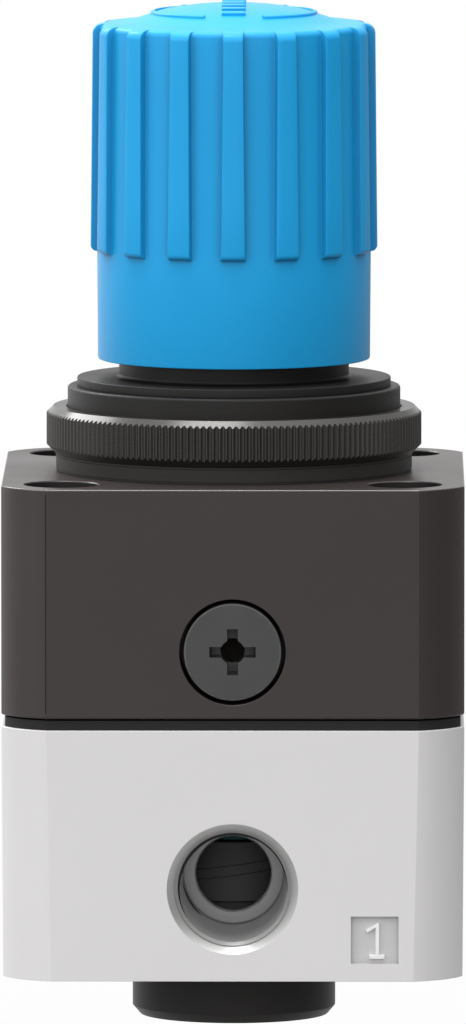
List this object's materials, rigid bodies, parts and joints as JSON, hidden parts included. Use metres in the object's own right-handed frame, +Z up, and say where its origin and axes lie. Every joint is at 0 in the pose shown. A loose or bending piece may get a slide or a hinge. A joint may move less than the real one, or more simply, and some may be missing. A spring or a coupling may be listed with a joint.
{
  "type": "precision pressure regulator",
  "caption": "Square precision pressure regulator with a ribbed adjusting knob, a knurled panel nut, a vent plug and threaded ports.",
  "frame": {"origin": "centre of the bottom cap's underside, which the regulator stands on", "axes": "+Z up along the spindle, towards the knob; port 1 faces -Y and port 2 faces +Y"},
  "size_m": [0.05, 0.05, 0.1104],
  "materials": {
    "knob_blue": "moulded, satin",
    "housing_black": "moulded, satin",
    "black_plastic": "moulded, satin",
    "black_metal": "black anodised, satin",
    "body_aluminium": "blasted, satin",
    "steel": "turned",
    "brass": "turned",
    "bronze": "sintered, matt",
    "rubber": "matt",
    "teal_seal": "matt"
  },
  "bodies": {
    "housing": {"lower_body": "body_aluminium", "bottom_cap": "black_metal", "cap_o_ring": "rubber", "gauge_plug_left": "steel", "gauge_plug_right": "steel", "valve_guide": "black_plastic", "valve_spring": "steel", "main_diaphragm": "rubber", "upper_housing": "housing_black", "housing_screw_1": "steel", "housing_screw_2": "steel", "housing_screw_3": "steel", "housing_screw_4": "steel", "vent_plug": "black_plastic", "vent_filter": "bronze", "pilot_nozzle": "brass", "pilot_diaphragm": "rubber", "clamp_ring": "steel", "bonnet": "black_plastic", "setting_spring": "steel", "thrust_washer": "brass", "lock_ring": "steel"},
    "valve": {"valve_poppet": "brass", "valve_pad": "teal_seal"},
    "main_piston": {"lower_diaphragm_plate": "steel", "upper_diaphragm_plate": "steel", "diaphragm_nut": "steel"},
    "pilot": {"pilot_plate": "steel"},
    "spring_nut": {"spring_nut": "brass"},
    "spindle": {"spindle": "steel", "retaining_ring": "steel"},
    "knob": {"knob": "knob_blue"},
    "nut_washer": {"nut_washer": "black_metal"},
    "panel_nut": {"panel_nut": "black_metal"}
  },
  "joints": [
    {"name": "valve_stroke", "type": "slide", "parent": "housing", "child": "valve", "axis": [0, 0, 1], "range_m": [-0.0012, 0], "stiffness_N_per_m": 1500, "springref_m": 0.002, "deforming": ["valve_spring"]},
    {"name": "relief_lift", "type": "slide", "parent": "valve", "child": "main_piston", "axis": [0, 0, 1], "range_m": [0, 0.0005], "deforming": ["main_diaphragm"]},
    {"name": "pilot_lift", "type": "slide", "parent": "housing", "child": "pilot", "axis": [0, 0, 1], "range_m": [0, 0.0004], "stiffness_N_per_m": 1500, "deforming": ["pilot_diaphragm"]},
    {"name": "nut_travel", "type": "slide", "parent": "housing", "child": "spring_nut", "axis": [0, 0, 1], "range_m": [-0.00751, 0], "deforming": ["setting_spring"]},
    {"name": "spindle_turn", "type": "hinge", "parent": "housing", "child": "spindle", "pos_m": [0, 0, 0.096], "axis": [0, 0, 1], "range_deg": [-1800, 0]},
    {"name": "knob_push", "type": "slide", "parent": "spindle", "child": "knob", "axis": [0, 0, 1], "range_m": [-0.0015, 0]},
    {"name": "washer_travel", "type": "slide", "parent": "housing", "child": "nut_washer", "axis": [0, 0, 1], "range_m": [0, 0.00451]},
    {"name": "panel_nut_turn", "type": "hinge", "parent": "nut_washer", "child": "panel_nut", "pos_m": [0, 0, 0.0614], "axis": [0, 0, 1], "range_deg": [0, 1080]}
  ],
  "couplings": [
    {"joint": "nut_travel", "follows": "spindle_turn", "m_per_rad": 0.00023873},
    {"joint": "washer_travel", "follows": "panel_nut_turn", "m_per_rad": 0.00023873}
  ]
}
